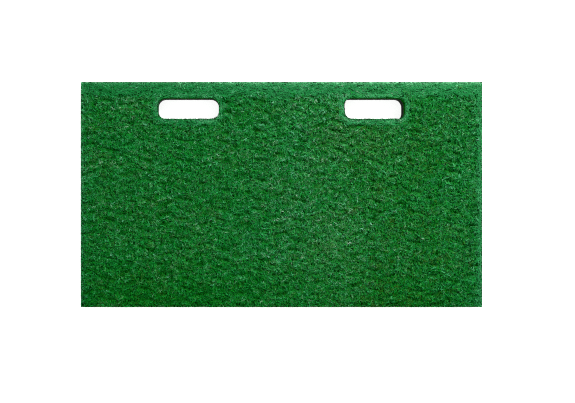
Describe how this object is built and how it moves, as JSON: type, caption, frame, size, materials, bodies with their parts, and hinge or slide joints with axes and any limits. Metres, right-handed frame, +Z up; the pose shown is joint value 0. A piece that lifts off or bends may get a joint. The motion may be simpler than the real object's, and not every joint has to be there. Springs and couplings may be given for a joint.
{
  "type": "golf hitting mat",
  "caption": "Flat rectangular practice turf mat with crimped pile on a foam and rubber base, with hand slots along one long edge.",
  "frame": {"origin": "middle of the footprint, on the plane that the mat lies on", "axes": "+Z is up out of the pile, +X is along the long side, +Y points to the long edge that has the hand slots"},
  "size_m": [0.61, 0.342, 0.025],
  "materials": {
    "rubber_base": "matt black moulded rubber",
    "glue_film": "thin amber hot-melt glue film",
    "foam": "black closed-cell foam, fine cells at the cut edge",
    "latex": "dark filled latex, slightly glossy",
    "backing": "woven black polypropylene",
    "turf": "dense crimped green nylon pile, slight sheen"
  },
  "bodies": {
    "root": {"rubber_base": "rubber_base", "base_glue_film": "glue_film", "shock_pad": "foam", "pad_glue_film": "glue_film", "latex_coat": "latex", "primary_backing": "backing", "turf_pile": "turf"}
  },
  "joints": []
}
